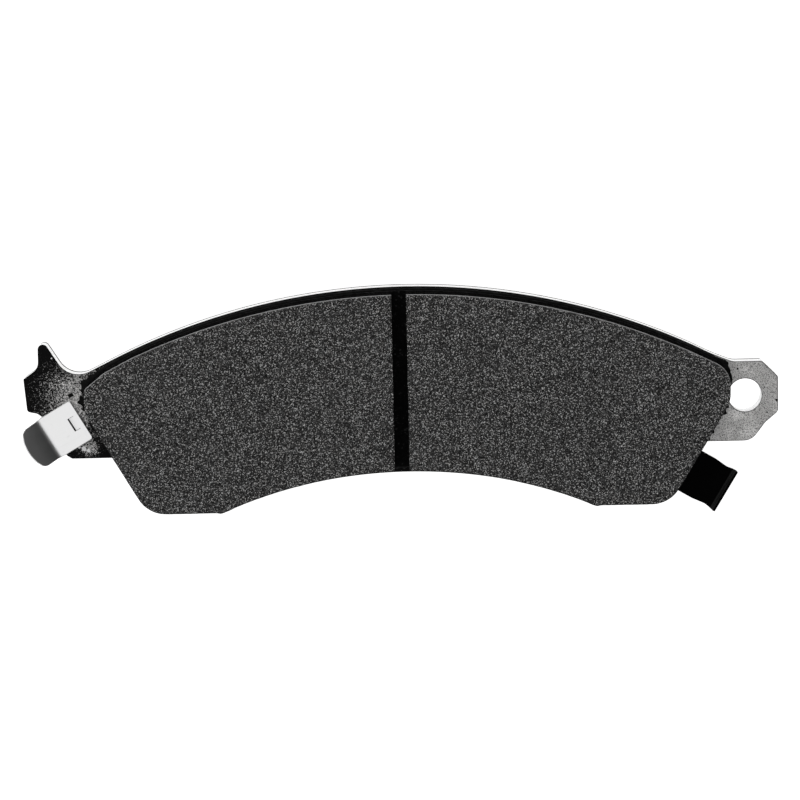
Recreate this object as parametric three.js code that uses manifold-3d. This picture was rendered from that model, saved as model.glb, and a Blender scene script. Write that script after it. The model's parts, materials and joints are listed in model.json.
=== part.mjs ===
// Arched disc-brake pad: a steel backing plate with a horned ear and a holed ear, a bonded lining in two
// blocks, a three-layer shim on the back, a clip with a spring tongue and a riveted abutment spring.
//
// Millimetres. The pad lies on its back: +X runs along the pad towards the holed ear, +Y runs outwards from
// the wheel's axle and +Z runs from the pistons to the rotor. The origin is on the shim's rear face, on the
// line that halves the lining's arc.
import * as THREE from 'three';
import { mergeVertices } from 'three/addons/utils/BufferGeometryUtils.js';
import Module from 'manifold-3d';

const wasm = await Module();
wasm.setup();

// ---- layers, from the pistons to the rotor --------------------------------------------------------------
const shimRubberThickness = 0.25;
const shimSteelThickness = 0.55;
const shimAdhesiveThickness = 0.2;
const plateThickness = 5;
const bondThickness = 0.2;
const underlayerThickness = 1.5;
const frictionThickness = 7.4;

// ---- lining --------------------------------------------------------------------------------------------
const liningHalfLength = 80.1;     // to the flat side faces
const liningOuterRadius = 166;     // the arc of the upper edge
const liningCrownHeight = 23.5;    // the upper edge on the centre line
const liningArchRadius = 116;      // the arc of the lower edge
const liningArchHeight = -20.8;    // the lower edge on the centre line
const footLevel = -30.4;           // the flat undersides of the two feet
const footLength = 17.2;
const footSetBack = 15.2;          // how far the slanted edge brings the foot in from the side face
const sideFaceHeight = 7.9;
const shoulderRadius = 9;
const slotWidth = 3.5;
const slotCentre = -1.5;

// ---- backing plate -------------------------------------------------------------------------------------
const plateMargin = 0.9;           // how far the plate stands out round the lining
const plateArchMargin = 1.7;       // the same under the arch
const bondMargin = 0.3;
const pinHoleDiameter = 8.3;
const pinHoleGap = 0.35;           // between the pin hole and the lining's side face
const plugDiameter = 8;
const plugClearance = 0.1;
const plugPathRadius = 150;
const plugPositions = [-56, -35, -13, 13, 35, 56];

// ---- shim ----------------------------------------------------------------------------------------------
const shimInset = 1.4;             // inside the lining's outline
const shimSteelInset = 0.2;        // the steel core ends inside the rubber and the adhesive

// ---- clip on the horned ear ----------------------------------------------------------------------------
const clipSheet = 0.75;
const clipWidth = 11.2;
const clipLegLength = 8.3;         // on the plate, up to the bend
const clipOverhang = 0.1;          // of the leg past the plate's edge
const clipTilt = 30.3;             // degrees from the pad's length to the clip's length
const clipBendRadius = 2.6;        // inside the bend
const clipRise = 38;               // degrees that the tongue rises
const tongueWidth = 10.8;
const tongueLength = 6;            // from the end of the bend to the tip
const tongueTipRadius = 9.5;
const barbWidth = 3.5;
const barbLength = 1.5;
const barbSetBack = 1.1;           // from the leg's inner edge
const barbDepth = 0.55;            // below the leg's underside
const barbClearance = 0.35;
const lanceWidth = 0.45;

// ---- abutment spring -----------------------------------------------------------------------------------
const springSheet = 0.7;
const springWidth = 11.7;
const springLegLength = 12;        // in the recess
const springReach = 11.6;          // from the plate's edge to the lip's outer face
const springLipHeight = 2.4;
const springBendRadius = 0.8;      // inside the lip's bend
const springDip = 0.5;             // how far the arm curves back before the lip
const springClearance = 0.3;
const springPlace = 8.3;           // its middle, up the slanted edge from the foot
const rivetDiameter = 3.2;
const rivetHeadDiameter = 5;
const rivetHeadThickness = 0.7;
const rivetSpacing = 6;
const rivetClearance = 0.15;

const flexGap = 0.3;               // between the two halves of a spring, at the line where it flexes
const cutOvershoot = 1;            // how far a cutting tool runs past the face that it cuts
const degree = Math.PI / 180;

// Levels of the faces between the layers.
const shimSteelRear = shimRubberThickness;
const shimAdhesiveRear = shimSteelRear + shimSteelThickness;
const plateRear = shimAdhesiveRear + shimAdhesiveThickness;
const plateFront = plateRear + plateThickness;
const underlayerRear = plateFront + bondThickness;
const frictionRear = underlayerRear + underlayerThickness;

// ---- outlines ------------------------------------------------------------------------------------------
// An outline is a list of corners [x, y, fillet radius], anticlockwise. A positive or a negative turn is
// filleted alike.

function arcCorners(centreY, radius, fromX, toX, steps) {
  const corners = [];
  for (let i = 0; i <= steps; i += 1) {
    const x = fromX + (toX - fromX) * i / steps;
    corners.push([x, centreY + Math.sqrt(radius * radius - x * x), 0]);
  }
  return corners;
}

// Moves every edge of an outline outwards by the same distance.
function grown(corners, distance) {
  return corners.map(([x, y, radius], i) => {
    const [beforeX, beforeY] = corners[(i + corners.length - 1) % corners.length];
    const [afterX, afterY] = corners[(i + 1) % corners.length];
    const into = new THREE.Vector2(x - beforeX, y - beforeY).normalize();
    const out = new THREE.Vector2(afterX - x, afterY - y).normalize();
    const bisector = new THREE.Vector2(into.y + out.y, -into.x - out.x).normalize();
    const reach = distance / (bisector.x * into.y - bisector.y * into.x);
    const convex = into.cross(out) > 0;
    const newRadius = radius > 0 ? Math.max(radius + (convex ? distance : -distance), 0.1) : 0;
    return [x + bisector.x * reach, y + bisector.y * reach, newRadius];
  });
}

// Turns corners into a closed three.js shape with an arc of a few chords in each filleted corner.
function filletedShape(corners) {
  const points = [];
  corners.forEach(([x, y, radius], i) => {
    const corner = new THREE.Vector2(x, y);
    const before = corners[(i + corners.length - 1) % corners.length];
    const after = corners[(i + 1) % corners.length];
    const toBefore = new THREE.Vector2(before[0] - x, before[1] - y);
    const toAfter = new THREE.Vector2(after[0] - x, after[1] - y);
    const room = 0.49 * Math.min(toBefore.length(), toAfter.length());
    toBefore.normalize();
    toAfter.normalize();
    const halfAngle = Math.acos(THREE.MathUtils.clamp(toBefore.dot(toAfter), -1, 1)) / 2;
    if (radius === 0 || Math.PI / 2 - halfAngle < 2 * degree) {
      points.push(corner);
      return;
    }
    const tangent = Math.min(radius / Math.tan(halfAngle), room);
    const filletRadius = tangent * Math.tan(halfAngle);
    const bisector = toBefore.clone().add(toAfter).normalize();
    const centre = corner.clone().addScaledVector(bisector, filletRadius / Math.sin(halfAngle));
    const start = corner.clone().addScaledVector(toBefore, tangent).sub(centre);
    const end = corner.clone().addScaledVector(toAfter, tangent).sub(centre);
    const sweep = Math.atan2(start.cross(end), start.dot(end));
    const chords = Math.max(2, Math.ceil(Math.abs(sweep) / (12 * degree)));
    for (let k = 0; k <= chords; k += 1) {
      points.push(start.clone().rotateAround(new THREE.Vector2(), sweep * k / chords).add(centre));
    }
  });
  return new THREE.Shape(points);
}

const outerArcCentre = liningCrownHeight - liningOuterRadius;
const archCentre = liningArchHeight - liningArchRadius;

function outerArcLevel(x, radius) {
  return outerArcCentre + Math.sqrt(radius * radius - x * x);
}

// The side faces hang from the ends of the upper arc.
const shoulderLevel = outerArcLevel(liningHalfLength, liningOuterRadius);
const sideFoot = shoulderLevel - sideFaceHeight;
const footOuter = liningHalfLength - footSetBack;
const footInner = footOuter - footLength;
const archEnd = footInner - 1.2;

const liningOutline = [
  ...arcCorners(archCentre, liningArchRadius, -archEnd, archEnd, 24),
  [footInner, footLevel, 0.5],
  [footOuter, footLevel, shoulderRadius - 1],
  [liningHalfLength, sideFoot, shoulderRadius - 1],
  [liningHalfLength, shoulderLevel + 0.2, shoulderRadius],
  ...arcCorners(outerArcCentre, liningOuterRadius, liningHalfLength - 7.5, 12 - liningHalfLength, 36),
  [5.3 - liningHalfLength, shoulderLevel + 2.5, 3],
  [0.3 - liningHalfLength, shoulderLevel - 1.6, 2],
  [0.3 - liningHalfLength, sideFoot + 0.4, shoulderRadius - 2],
  [-footOuter, footLevel, shoulderRadius - 1],
  [-footInner, footLevel, 0.5],
];

// A point on a slanted edge of the plate: `along` millimetres up from where the edge would meet the foot.
const slantAngle = Math.atan2(sideFoot - footLevel, footSetBack);
const slantUp = new THREE.Vector2(Math.cos(slantAngle), Math.sin(slantAngle));
const slantOut = new THREE.Vector2(Math.sin(slantAngle), -Math.cos(slantAngle));
const plateFoot = footLevel - plateMargin;

// Where the plate's slanted edge reaches a level, on the right-hand side.
function slantReach(level) {
  const along = (level - footLevel - slantOut.y * plateMargin) / slantUp.y;
  return footOuter + slantUp.x * along + slantOut.x * plateMargin;
}

// Both ears are drawn from the end of the plate's upper arc.
const plateOuterRadius = liningOuterRadius + plateMargin;
const earRoot = liningHalfLength - 4;
const earLevel = outerArcLevel(earRoot, plateOuterRadius);
const pinHoleRadius = pinHoleDiameter / 2;
const pinHoleX = liningHalfLength + pinHoleGap + pinHoleRadius;
const pinHoleY = earLevel - 10.8;
const pinEarWall = 4.15;
const pinEarEnd = pinHoleX + pinHoleRadius + pinEarWall;
const pinEarFoot = earLevel - 22.4;
const pinEarTop = earLevel - 2.2;

const pinEar = [
  [slantReach(pinEarFoot), pinEarFoot, 1],
  [pinEarEnd - 6.7, pinEarFoot, 4],
  [pinEarEnd - 3.2, pinEarFoot + 4.6, 0.6],
  [pinEarEnd, pinEarFoot + 7.3, 1.5],
  [pinEarEnd, pinEarTop - 4, 0.8],
  [pinEarEnd - 2.9, pinEarTop - 1.1, 0.4],
  [pinEarEnd - 4.1, pinEarTop, 0.4],
  [pinEarEnd - 11.4, pinEarTop, 4],
];

const clipAngle = clipTilt * degree;
const clipOut = new THREE.Vector2(-Math.cos(clipAngle), -Math.sin(clipAngle));
const clipAcross = new THREE.Vector2(Math.sin(clipAngle), -Math.cos(clipAngle));
const hornEarEnd = liningHalfLength + 15.6;
const hornEarFoot = earLevel - 23.5;
const clipSeat = new THREE.Vector2(7.2 - hornEarEnd, earLevel - 17.5);
const obliqueUpper = clipSeat.clone().addScaledVector(clipAcross, -5.4);
const obliqueLower = clipSeat.clone().addScaledVector(clipAcross, 6);

const hornEar = [
  [-0.3 - liningHalfLength - 3.5, earLevel - 3.8, 7],
  [3.9 - hornEarEnd, earLevel + 8.8, 1.45],
  [3.8 - hornEarEnd, earLevel - 0.4, 3],
  [-hornEarEnd, earLevel - 3.1, 0.3],
  [0.7 - hornEarEnd, earLevel - 11.4, 0.9],
  [3.2 - hornEarEnd, earLevel - 11.9, 0.9],
  [obliqueUpper.x, obliqueUpper.y, 0.5],
  [obliqueLower.x, obliqueLower.y, 0.5],
  [obliqueLower.x + 1.3, hornEarFoot, 0.5],
  [-slantReach(hornEarFoot), hornEarFoot, 0.8],
];

const plateArchEnd = archEnd - 1.6;
const plateArchTop = liningArchHeight - plateArchMargin;
const plateArchSag = plateArchTop - plateFoot - 0.25;
const plateArchRadius = (plateArchEnd ** 2 + plateArchSag ** 2) / (2 * plateArchSag);

const plateOutline = [
  ...arcCorners(plateArchTop - plateArchRadius, plateArchRadius, -plateArchEnd, plateArchEnd, 24),
  [footInner - 0.4, plateFoot, 0.5],
  [slantReach(plateFoot), plateFoot, shoulderRadius],
  ...pinEar,
  ...arcCorners(outerArcCentre, plateOuterRadius, earRoot, 2 - earRoot, 36),
  ...hornEar,
  [-slantReach(plateFoot), plateFoot, shoulderRadius],
  [0.4 - footInner, plateFoot, 0.5],
];

// ---- solids --------------------------------------------------------------------------------------------
function toSolid(geometry) {
  const plain = geometry.index ? geometry.toNonIndexed() : geometry.clone();
  plain.deleteAttribute('normal');
  plain.deleteAttribute('uv');
  const merged = mergeVertices(plain, 1e-5);
  return new wasm.Manifold(new wasm.Mesh({
    numProp: 3,
    vertProperties: new Float32Array(merged.attributes.position.array),
    triVerts: new Uint32Array(merged.index.array),
  }));
}

function toGeometry(solid) {
  const mesh = solid.getMesh();
  const geometry = new THREE.BufferGeometry();
  geometry.setAttribute('position', new THREE.BufferAttribute(new Float32Array(mesh.vertProperties), 3));
  geometry.setIndex(new THREE.BufferAttribute(new Uint32Array(mesh.triVerts), 1));
  geometry.computeVertexNormals();
  return geometry;
}

// A flat layer of the given outline whose two faces lie at exactly the levels asked for.
function slab(shape, rear, front) {
  const geometry = new THREE.ExtrudeGeometry(shape, { depth: 1, bevelEnabled: false });
  const position = geometry.attributes.position;
  for (let i = 0; i < position.count; i += 1) {
    position.setZ(i, position.getZ(i) < 0.5 ? rear : front);
  }
  return geometry;
}

// A strip of sheet metal: its bent edge-on profile, extruded to its width and centred on it.
function sheet(profile, width) {
  const geometry = new THREE.ExtrudeGeometry(profile, { depth: width, bevelEnabled: false });
  return geometry.translate(0, 0, -width / 2);
}

function roundHole(x, y, radius) {
  const path = new THREE.Path();
  const sides = 32;
  for (let i = 0; i < sides; i += 1) {
    const angle = 2 * Math.PI * i / sides;
    const point = [x + radius * Math.cos(angle), y + radius * Math.sin(angle)];
    if (i === 0) {
      path.moveTo(...point);
    } else {
      path.lineTo(...point);
    }
  }
  path.closePath();
  return path;
}

function disc(x, y, radius) {
  return new THREE.Shape(roundHole(x, y, radius).getPoints());
}

// Follows the corners [along, level, bend radius] of a sheet's middle and gives it its thickness.
function bentSheet(corners, thickness) {
  const middle = [new THREE.Vector2(corners[0][0], corners[0][1])];
  for (let i = 1; i < corners.length - 1; i += 1) {
    const [x, y, radius] = corners[i];
    const toBefore = new THREE.Vector2(corners[i - 1][0] - x, corners[i - 1][1] - y).normalize();
    const toAfter = new THREE.Vector2(corners[i + 1][0] - x, corners[i + 1][1] - y).normalize();
    const halfAngle = Math.acos(toBefore.dot(toAfter)) / 2;
    const bisector = toBefore.clone().add(toAfter).normalize();
    const centre = new THREE.Vector2(x, y).addScaledVector(bisector, radius / Math.sin(halfAngle));
    const tangent = radius / Math.tan(halfAngle);
    const start = new THREE.Vector2(x, y).addScaledVector(toBefore, tangent).sub(centre);
    const end = new THREE.Vector2(x, y).addScaledVector(toAfter, tangent).sub(centre);
    const sweep = Math.atan2(start.cross(end), start.dot(end));
    const chords = Math.max(3, Math.ceil(Math.abs(sweep) / (8 * degree)));
    for (let k = 0; k <= chords; k += 1) {
      const point = start.clone().rotateAround(new THREE.Vector2(), sweep * k / chords).add(centre);
      if (point.distanceTo(middle[middle.length - 1]) > 0.01) {
        middle.push(point);
      }
    }
  }
  const last = corners[corners.length - 1];
  middle.push(new THREE.Vector2(last[0], last[1]));
  const side = (sign) => middle.map((point, i) => {
    const before = middle[Math.max(i - 1, 0)];
    const after = middle[Math.min(i + 1, middle.length - 1)];
    const into = (i === 0 ? after.clone().sub(point) : point.clone().sub(before)).normalize();
    const out = (i === middle.length - 1 ? into.clone() : after.clone().sub(point).normalize());
    const normal = new THREE.Vector2(-into.y - out.y, into.x + out.x).normalize();
    const reach = thickness / 2 / (-normal.x * into.y + normal.y * into.x);
    return point.clone().addScaledVector(normal, sign * reach);
  });
  return new THREE.Shape([...side(-1), ...side(1).reverse()]);
}

// Turns geometry drawn in (along, across, level) or (along, level, across) onto the pad.
function laidFlat(geometry, along, origin) {
  const across = new THREE.Vector3(-along.y, along.x, 0);
  const turn = new THREE.Matrix4().makeBasis(new THREE.Vector3(along.x, along.y, 0), across,
    new THREE.Vector3(0, 0, 1));
  return geometry.applyMatrix4(turn.setPosition(origin.x, origin.y, 0));
}

function stoodOnEdge(geometry, along, origin) {
  const across = new THREE.Vector3(along.y, -along.x, 0);
  const turn = new THREE.Matrix4().makeBasis(new THREE.Vector3(along.x, along.y, 0),
    new THREE.Vector3(0, 0, 1), across);
  return geometry.applyMatrix4(turn.setPosition(origin.x, origin.y, 0));
}

function rectangle(fromX, toX, halfWidth, radius = 0) {
  return filletedShape([
    [fromX, -halfWidth, radius],
    [toX, -halfWidth, radius],
    [toX, halfWidth, radius],
    [fromX, halfWidth, radius],
  ]);
}

// ---- lining --------------------------------------------------------------------------------------------
function blockSide(side) {
  const lining = toSolid(slab(filletedShape(liningOutline), frictionRear, frictionRear + frictionThickness));
  const nearX = slotCentre + side * slotWidth / 2;
  const farX = side * (liningHalfLength + cutOvershoot);
  const keepShape = new THREE.Shape([
    new THREE.Vector2(Math.min(nearX, farX), footLevel - cutOvershoot),
    new THREE.Vector2(Math.max(nearX, farX), footLevel - cutOvershoot),
    new THREE.Vector2(Math.max(nearX, farX), liningCrownHeight + cutOvershoot),
    new THREE.Vector2(Math.min(nearX, farX), liningCrownHeight + cutOvershoot),
  ]);
  const keep = toSolid(slab(keepShape, frictionRear - cutOvershoot,
    frictionRear + frictionThickness + cutOvershoot));
  return toGeometry(lining.intersect(keep));
}

function plugPlaces() {
  return plugPositions.map((x) => [x, outerArcLevel(x, plugPathRadius)]);
}

function underlayer() {
  const plugRecess = 0.1;
  let solid = toSolid(slab(filletedShape(liningOutline), underlayerRear, frictionRear));
  plugPlaces().forEach(([x, y]) => {
    const plug = disc(x, y, plugDiameter / 2 - plugClearance);
    solid = solid.add(toSolid(slab(plug, plateRear + plugRecess, frictionRear - underlayerThickness / 2)));
  });
  return toGeometry(solid);
}

function bondLayer() {
  const shape = filletedShape(grown(liningOutline, bondMargin));
  shape.holes = plugPlaces().map(([x, y]) => roundHole(x, y, plugDiameter / 2));
  return slab(shape, plateFront, underlayerRear);
}

// ---- abutment spring and its rivets ----------------------------------------------------------------------
const springRecessDepth = springSheet + 0.1;
const springSeatLevel = plateRear + springRecessDepth;
const springMiddle = springSeatLevel - springSheet / 2;
const springEdge = new THREE.Vector2(footOuter, footLevel)
  .addScaledVector(slantUp, springPlace)
  .addScaledVector(slantOut, plateMargin);
const springFlex = 0.3;            // from the plate's edge to the middle of the flexing line
const rivetSetBack = springLegLength / 2 + 0.6;
const rivetPlaces = [-1, 1].map((side) => springEdge.clone()
  .addScaledVector(slantOut, -rivetSetBack)
  .addScaledVector(slantUp, side * rivetSpacing / 2));

function springLeg() {
  const shape = rectangle(-springLegLength, springFlex - flexGap / 2, springWidth / 2, 0);
  shape.holes = [-1, 1].map((side) => roundHole(-rivetSetBack, side * rivetSpacing / 2,
    rivetDiameter / 2 + rivetClearance));
  const leg = slab(shape, springSeatLevel - springSheet, springSeatLevel);
  return laidFlat(leg, slantOut, springEdge);
}

function springArm() {
  const lipMiddle = springReach - springSheet / 2;
  const low = springMiddle - springDip;
  const profile = bentSheet([
    [springFlex + flexGap / 2, springMiddle, 0],
    [springReach * 0.25, springMiddle, 8],
    [springReach * 0.6, low, 8],
    [lipMiddle, low, springBendRadius + springSheet / 2],
    [lipMiddle + springLipHeight * 0.12, low + springLipHeight, 0],
  ], springSheet);
  const waist = springWidth / 2 - 0.35;
  const halfWidth = springWidth / 2;
  const plan = filletedShape([
    [0, -halfWidth, 0],
    [springReach * 0.5, -halfWidth, 6],
    [springReach * 0.82, -waist, 3],
    [springReach + cutOvershoot, -halfWidth, 0],
    [springReach + cutOvershoot, halfWidth, 0],
    [springReach * 0.82, waist, 3],
    [springReach * 0.5, halfWidth, 6],
    [0, halfWidth, 0],
  ]);
  const bent = toSolid(stoodOnEdge(sheet(profile, springWidth + 1), slantOut, springEdge));
  const trim = toSolid(laidFlat(slab(plan, -10, 20), slantOut, springEdge));
  return toGeometry(bent.intersect(trim));
}

// A rivet's profile, from the axis outwards and from the rear head to the countersunk one.
function rivetProfile(clearance) {
  const shank = rivetDiameter / 2 + clearance;
  const sink = 1.2;
  const rear = springSeatLevel - springSheet;
  return [
    new THREE.Vector2(0, rear - rivetHeadThickness),
    new THREE.Vector2(rivetHeadDiameter / 2 - 0.25, rear - rivetHeadThickness),
    new THREE.Vector2(rivetHeadDiameter / 2, rear - rivetHeadThickness + 0.25),
    new THREE.Vector2(rivetHeadDiameter / 2, rear),
    new THREE.Vector2(shank, rear),
    new THREE.Vector2(shank, plateFront - sink - clearance),
    new THREE.Vector2(shank + sink - clearance, plateFront - 2 * clearance),
    new THREE.Vector2(0, plateFront - 2 * clearance),
  ];
}

function turned(profile, place) {
  return new THREE.LatheGeometry(profile, 24).rotateX(Math.PI / 2).translate(place.x, place.y, 0);
}

function rivet(place) {
  const profile = rivetProfile(0);
  const settle = 0.05;             // below the plate's front face
  profile[6].y -= settle;
  profile[7].y -= settle;
  return turned(profile, place);
}

function rivetBore(place) {
  const shank = rivetDiameter / 2 + rivetClearance;
  const sink = 1.2;
  return turned([
    new THREE.Vector2(0, plateRear - cutOvershoot),
    new THREE.Vector2(shank, plateRear - cutOvershoot),
    new THREE.Vector2(shank, plateFront - sink),
    new THREE.Vector2(shank + sink + cutOvershoot, plateFront + cutOvershoot),
    new THREE.Vector2(0, plateFront + cutOvershoot),
  ], place);
}

// ---- clip on the horned ear ------------------------------------------------------------------------------
// Its leg lies on the plate's front face. `along` runs outwards from the leg's inner edge.
const clipInner = clipSeat.clone().addScaledVector(clipOut, -clipLegLength + clipOverhang);
const barbEnd = barbSetBack + barbLength;

function clipLeg() {
  const shape = filletedShape([
    [0, -clipWidth / 2, 0.5],
    [clipLegLength, -clipWidth / 2, 0],
    [clipLegLength, clipWidth / 2, 0],
    [0, clipWidth / 2, 0.5],
  ]);
  const window = rectangle(barbSetBack, barbEnd + lanceWidth, barbWidth / 2);
  shape.holes = [new THREE.Path(window.getPoints())];
  const leg = toSolid(slab(shape, plateFront, plateFront + clipSheet));
  const barb = bentSheet([
    [barbSetBack - 0.3, plateFront + clipSheet / 2, 0],
    [barbSetBack + 0.2, plateFront + clipSheet / 2, 0.4],
    [barbEnd, plateFront + clipSheet / 2 - barbDepth, 0],
  ], clipSheet * 0.9);
  const tab = toSolid(sheet(barb, barbWidth - 0.3).applyMatrix4(
    new THREE.Matrix4().makeBasis(new THREE.Vector3(1, 0, 0), new THREE.Vector3(0, 0, 1),
      new THREE.Vector3(0, -1, 0))));
  return laidFlat(toGeometry(leg.add(tab)), clipOut, clipInner);
}

function clipTongue() {
  const middle = plateFront + clipSheet / 2;
  const bend = clipBendRadius + clipSheet / 2;
  const rise = clipRise * degree;
  const bendVertex = clipLegLength + bend * Math.tan(rise / 2);
  const flat = bend * Math.tan(rise / 2) + tongueLength;
  const tipX = bendVertex + flat * Math.cos(rise);
  const tipZ = middle + flat * Math.sin(rise);
  const profile = bentSheet([
    [clipLegLength + flexGap, middle, 0],
    [bendVertex + flexGap, middle, bend],
    [tipX + flexGap, tipZ, 0],
  ], clipSheet);
  const bent = toSolid(stoodOnEdge(sheet(profile, tongueWidth), clipOut, clipInner));

  const half = tongueWidth / 2;
  const tipEdge = Math.sqrt(tongueTipRadius ** 2 - half ** 2) - tongueTipRadius;
  const roundedFrom = 0.6;         // share of the half width where the tip's corners begin
  const pattern = [[-20, -half - 1, 0], [-6, -half - 1, 0], [-6, -half, 0], [tipEdge, -half, 2.2]];
  const steps = 8;
  for (let i = 0; i <= steps; i += 1) {
    const y = half * roundedFrom * (2 * i / steps - 1);
    pattern.push([Math.sqrt(tongueTipRadius ** 2 - y * y) - tongueTipRadius, y, 0]);
  }
  pattern.push([tipEdge, half, 2.2], [-6, half, 0], [-6, half + 1, 0], [-20, half + 1, 0]);
  const trim = slab(filletedShape(pattern), -12, 12);
  trim.rotateY(-rise).translate(tipX + flexGap, 0, tipZ);
  return toGeometry(bent.intersect(toSolid(laidFlat(trim, clipOut, clipInner))));
}

// ---- backing plate ---------------------------------------------------------------------------------------
function backingPlate() {
  const shape = filletedShape(plateOutline);
  shape.holes = [
    roundHole(pinHoleX, pinHoleY, pinHoleRadius),
    ...plugPlaces().map(([x, y]) => roundHole(x, y, plugDiameter / 2)),
  ];
  const recess = slab(rectangle(-springLegLength - springClearance, cutOvershoot + plateMargin,
    springWidth / 2 + springClearance), plateRear - cutOvershoot, springSeatLevel);
  const pocket = slab(rectangle(barbSetBack, barbEnd + barbClearance, barbWidth / 2 + barbClearance),
    plateFront - barbDepth - barbClearance, plateFront + cutOvershoot);
  let plate = toSolid(slab(shape, plateRear, plateFront));
  plate = plate.subtract(toSolid(laidFlat(recess, slantOut, springEdge)));
  plate = plate.subtract(toSolid(laidFlat(pocket, clipOut, clipInner)));
  rivetPlaces.forEach((place) => {
    plate = plate.subtract(toSolid(rivetBore(place)));
  });
  return toGeometry(plate);
}

// ---- shim ------------------------------------------------------------------------------------------------
function shimLayer(inset, rear, front) {
  const layer = toSolid(slab(filletedShape(grown(liningOutline, -inset)), rear, front));
  const room = 1 + inset;
  const notch = slab(rectangle(-springLegLength - room, 2 * springLegLength, springWidth / 2 + room),
    rear - cutOvershoot, front + cutOvershoot);
  return toGeometry(layer.subtract(toSolid(laidFlat(notch, slantOut, springEdge))));
}

// ---- the assembly ----------------------------------------------------------------------------------------
const pad = new THREE.Group();

function piece(name, geometry, color, roughness, metalness) {
  const material = new THREE.MeshStandardMaterial({ color, roughness, metalness });
  const mesh = new THREE.Mesh(geometry, material);
  mesh.name = name;
  pad.add(mesh);
}

piece('backing_plate', backingPlate(), 0x86847f, 0.55, 0.8);
piece('bond_layer', bondLayer(), 0x0b0b0c, 0.7, 0);
piece('underlayer', underlayer(), 0x161617, 0.9, 0);
piece('friction_block_left', blockSide(-1), 0x3f3e3f, 0.9, 0.1);
piece('friction_block_right', blockSide(1), 0x3a393a, 0.9, 0.1);
piece('shim_adhesive', shimLayer(shimInset, shimAdhesiveRear, plateRear), 0x1c1b1a, 0.8, 0);
piece('shim_steel', shimLayer(shimInset + shimSteelInset, shimSteelRear, shimAdhesiveRear), 0x9a9a9a, 0.4, 1);
piece('shim_rubber', shimLayer(shimInset, 0, shimSteelRear), 0x242424, 0.75, 0);
piece('clip_leg', clipLeg(), 0xd6d7d8, 0.25, 1);
piece('clip_tongue', clipTongue(), 0xc9cacc, 0.25, 1);
piece('abutment_spring_leg', springLeg(), 0x121213, 0.5, 0.6);
piece('abutment_spring_arm', springArm(), 0x121213, 0.5, 0.6);
rivetPlaces.forEach((place, i) => {
  piece(['spring_rivet_lower', 'spring_rivet_upper'][i], rivet(place), 0x8f8f8c, 0.4, 1);
});

export default pad;
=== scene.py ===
"""Arched disc-brake pad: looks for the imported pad, one section for each piece and each finish.

Metres. Lengths that a maker would give in millimetres are written as numbers times `mm`.
"""
import json
import math

import bmesh
import bpy
import numpy as np
from mathutils import Matrix, Vector, geometry, kdtree, noise


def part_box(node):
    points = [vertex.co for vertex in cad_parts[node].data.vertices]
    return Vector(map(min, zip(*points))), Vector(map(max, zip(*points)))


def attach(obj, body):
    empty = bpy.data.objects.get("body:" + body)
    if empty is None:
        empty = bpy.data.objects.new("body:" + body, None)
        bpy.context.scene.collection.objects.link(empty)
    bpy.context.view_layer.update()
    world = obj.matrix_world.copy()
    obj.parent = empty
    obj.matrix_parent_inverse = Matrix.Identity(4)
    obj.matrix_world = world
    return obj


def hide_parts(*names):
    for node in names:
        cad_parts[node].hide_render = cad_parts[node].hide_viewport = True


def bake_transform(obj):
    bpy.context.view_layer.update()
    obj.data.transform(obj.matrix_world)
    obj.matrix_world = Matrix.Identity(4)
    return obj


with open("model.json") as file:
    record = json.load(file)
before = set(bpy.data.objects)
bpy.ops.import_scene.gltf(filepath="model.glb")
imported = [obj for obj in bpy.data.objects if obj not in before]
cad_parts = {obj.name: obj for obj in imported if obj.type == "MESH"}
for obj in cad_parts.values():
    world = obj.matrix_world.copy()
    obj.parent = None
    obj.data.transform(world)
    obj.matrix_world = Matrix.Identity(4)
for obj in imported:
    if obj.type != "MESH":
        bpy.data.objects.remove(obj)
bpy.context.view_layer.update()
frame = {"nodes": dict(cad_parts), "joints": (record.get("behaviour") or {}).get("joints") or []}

mm = 0.001
scene = bpy.context.scene

# ---- levels of the layers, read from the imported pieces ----
PLATE_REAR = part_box("backing_plate")[0].z
PLATE_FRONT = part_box("backing_plate")[1].z
BOND_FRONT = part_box("bond_layer")[1].z
UNDERLAYER_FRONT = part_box("underlayer")[1].z
ROTOR_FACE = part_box("friction_block_left")[1].z
CLIP_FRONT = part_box("clip_leg")[1].z
JOINTS = {joint["name"]: joint for joint in frame["joints"]}


# ---- stage ----
CAMERA_DISTANCE = 770 * mm
CAMERA_TILT = math.radians(8.9)       # towards the pad's outer edge
CAMERA_ROLL = math.radians(1.18)      # the pad's length against the picture's width
CAMERA_AIM = Vector((-1.7 * mm, -4.2 * mm, PLATE_FRONT))
LENS = 138.6                          # millimetres, on a sensor 36 mm wide
FLOOR_SPAN = 3.0
FLOOR_DROP = 0.2 * mm                 # below the shim's rear face
WORLD_STRENGTH = 0.07
SOFTBOXES = (                         # name, place, size and radiance; each aims at the origin
    ("overhead_softbox", (-0.25, -0.15, 1.3), (1.8, 1.8), 0.95),
    ("rim_softbox", (-0.3, 0.95, 0.4), (0.9, 0.25), 4.0))


def add_camera():
    data = bpy.data.cameras.new("studio_camera")
    data.lens = LENS
    data.sensor_width = 36.0
    data.clip_start = 0.01
    camera = bpy.data.objects.new("studio_camera", data)
    scene.collection.objects.link(camera)
    turn = Matrix.Rotation(-CAMERA_TILT, 4, "X") @ Matrix.Rotation(-CAMERA_ROLL, 4, "Z")
    back = Matrix.Translation((0, 0, CAMERA_DISTANCE))
    camera.matrix_world = Matrix.Translation(CAMERA_AIM) @ turn @ back
    scene.camera = camera


def add_floor():
    bpy.ops.mesh.primitive_plane_add(size=FLOOR_SPAN, location=(0, 0, -FLOOR_DROP))
    floor = bpy.context.object
    floor.name = "studio_floor"
    floor.data.materials.append(new_material(white_paper))


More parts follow.
